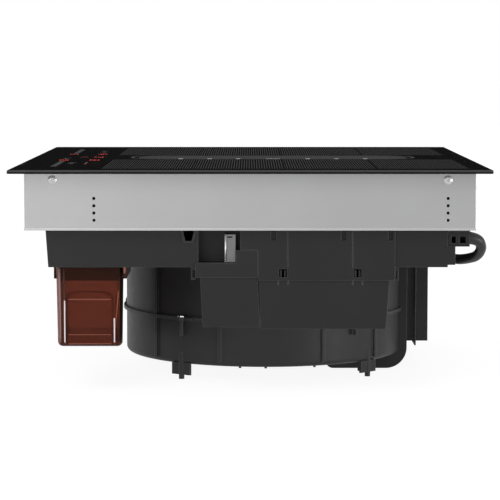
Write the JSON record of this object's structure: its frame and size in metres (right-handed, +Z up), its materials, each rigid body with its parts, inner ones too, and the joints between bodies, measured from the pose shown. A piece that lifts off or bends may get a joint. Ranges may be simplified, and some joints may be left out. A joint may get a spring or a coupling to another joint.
{
  "type": "downdraft induction cooktop",
  "caption": "Built-in induction cooktop with a central downdraft intake, an under-slung blower casing, a flat rear outlet, a drip tank and a stowed mains cable.",
  "frame": {"origin": "on the floor plane under the feet, below the middle of the glass, 1.3 mm behind its centre", "axes": "+X to the user's right, +Y to the back, +Z up"},
  "size_m": [0.6312, 0.5242, 0.25],
  "materials": {
    "glass": "black glass ceramic, glossy",
    "sealant": "black silicone",
    "tray_steel": "galvanised, satin",
    "bracket_steel": "bare, brushed",
    "screw_steel": "zinc plated",
    "grille_coat": "matt anthracite",
    "frame_plastic": "moulded",
    "filter_steel": "stainless",
    "filter_mesh": "expanded mesh",
    "housing_plastic": "fine textured black",
    "volute_plastic": "satin moulded black",
    "wheel_plastic": "moulded",
    "tank_plastic": "clear amber",
    "cable_rubber": "black sheath",
    "core_sheath": "cores of the cable",
    "tie_plastic": "nylon",
    "board": "green lacquer",
    "winding": "litz wire",
    "carrier": "heat resistant",
    "mica": "mica sheet",
    "ferrite": "sintered",
    "alloy": "mill finish",
    "motor_steel": "zinc",
    "bearing_steel": "ground"
  },
  "bodies": {
    "root": {"glass_top": "glass", "glass_bond": "sealant", "inlet_frame": "frame_plastic", "steel_tray": "tray_steel", "tray_screws": "screw_steel", "touch_board": "board", "mica_sheets": "mica", "left_coil_carriers": "carrier", "left_coil_support": "alloy", "left_power_board": "board", "right_coil_carriers": "carrier", "right_coil_support": "alloy", "right_power_board": "board", "ferrite_bars": "ferrite", "temperature_sensors": "ferrite", "heat_sinks": "alloy", "left_fan_frame": "wheel_plastic", "right_fan_frame": "wheel_plastic", "housing_tray": "housing_plastic", "intake_duct": "frame_plastic", "drain_hose": "frame_plastic", "electronics_box": "housing_plastic", "electronics_cover": "housing_plastic", "connection_box": "housing_plastic", "blower_board": "board", "mains_filter_board": "board", "fixing_bracket": "bracket_steel", "terminal_box": "housing_plastic", "cable_gland": "cable_rubber", "power_cord": "cable_rubber", "cord_coil": "cable_rubber", "coil_tie": "tie_plastic", "core_ends": "core_sheath", "volute_lower": "volute_plastic", "volute_upper": "volute_plastic", "volute_screws": "screw_steel", "blower_motor": "motor_steel", "motor_bearings": "bearing_steel", "outlet_collector": "volute_plastic", "outlet_spigot": "volute_plastic", "tank_collar": "housing_plastic", "tank_seal": "sealant", "left_coil_1": "winding", "left_coil_2": "winding", "left_coil_3": "winding", "left_coil_4": "winding", "right_coil_1": "winding", "right_coil_2": "winding", "right_coil_3": "winding", "right_coil_4": "winding"},
    "blower_rotor": {"impeller": "wheel_plastic", "blower_shaft": "bearing_steel"},
    "left_fan": {"left_fan_rotor": "wheel_plastic"},
    "right_fan": {"right_fan_rotor": "wheel_plastic"},
    "grille": {"inlet_grille": "grille_coat"},
    "filter": {"filter_cassette": "filter_steel", "filter_mesh": "filter_mesh"},
    "tank": {"drain_tank": "tank_plastic"}
  },
  "joints": [
    {"name": "impeller_spin", "type": "hinge", "parent": "root", "child": "blower_rotor", "pos_m": [0, 0.016, 0.06], "axis": [0, 0, 1], "continuous": true},
    {"name": "left_fan_spin", "type": "hinge", "parent": "root", "child": "left_fan", "pos_m": [-0.214, -0.188, 0.195], "axis": [0, 0, 1], "continuous": true},
    {"name": "right_fan_spin", "type": "hinge", "parent": "root", "child": "right_fan", "pos_m": [0.214, -0.188, 0.195], "axis": [0, 0, 1], "continuous": true},
    {"name": "grille_lift", "type": "slide", "parent": "root", "child": "grille", "axis": [0, 0, 1], "range_m": [0, 0.15]},
    {"name": "filter_lift", "type": "slide", "parent": "root", "child": "filter", "axis": [0, 0, 1], "range_m": [0, 0.075]},
    {"name": "tank_drop", "type": "slide", "parent": "root", "child": "tank", "axis": [0, 0, -1], "range_m": [0, 0.045]}
  ],
  "couplings": [
    {"joint": "filter_lift", "follows": "grille_lift", "ratio": 0.5}
  ]
}
